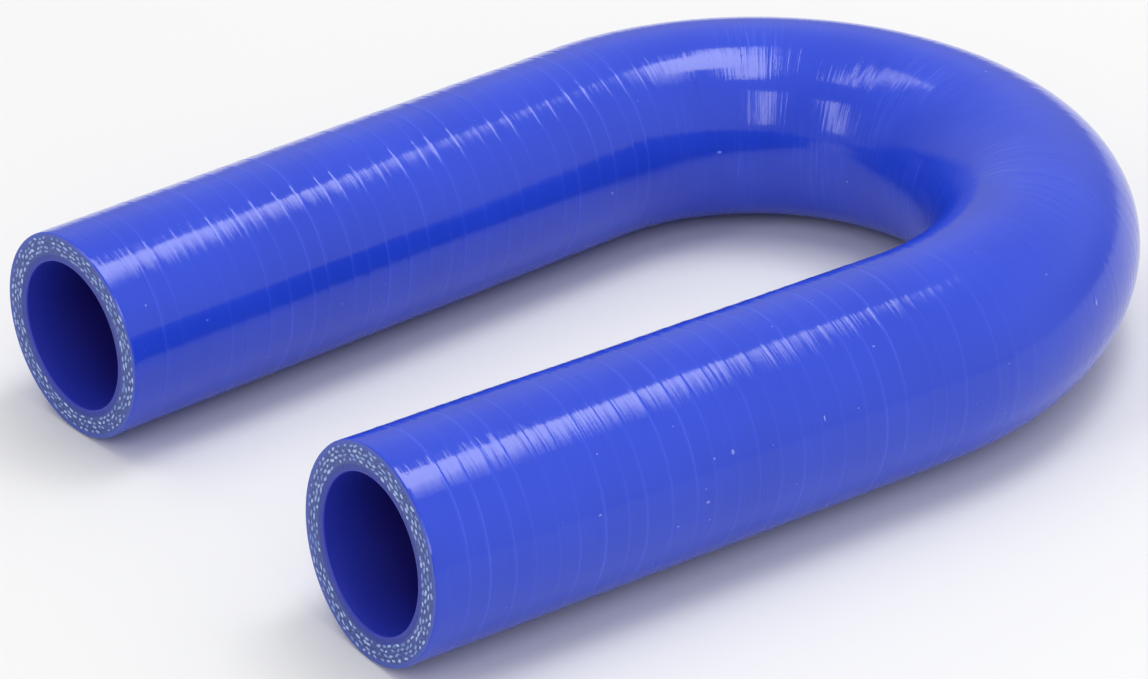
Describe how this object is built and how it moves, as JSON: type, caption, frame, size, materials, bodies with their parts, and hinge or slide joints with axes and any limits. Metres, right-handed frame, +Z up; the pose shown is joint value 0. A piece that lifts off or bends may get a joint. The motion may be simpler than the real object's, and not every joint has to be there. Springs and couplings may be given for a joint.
{
  "type": "silicone u-bend elbow hose",
  "caption": "Preformed silicone rubber hose bent back on itself into a U, with plain cut ends that slip over pipe stubs.",
  "frame": {"origin": "on the surface the hose lies on, under the middle of its bounding box", "axes": "+Z up, +X towards the bend, along the near leg; both cut ends face -X, the near leg is at -Y"},
  "size_m": [0.1766, 0.1288, 0.035],
  "materials": {
    "silicone": "glossy blue silicone rubber"
  },
  "bodies": {
    "root": {"hose": "silicone"}
  },
  "joints": []
}
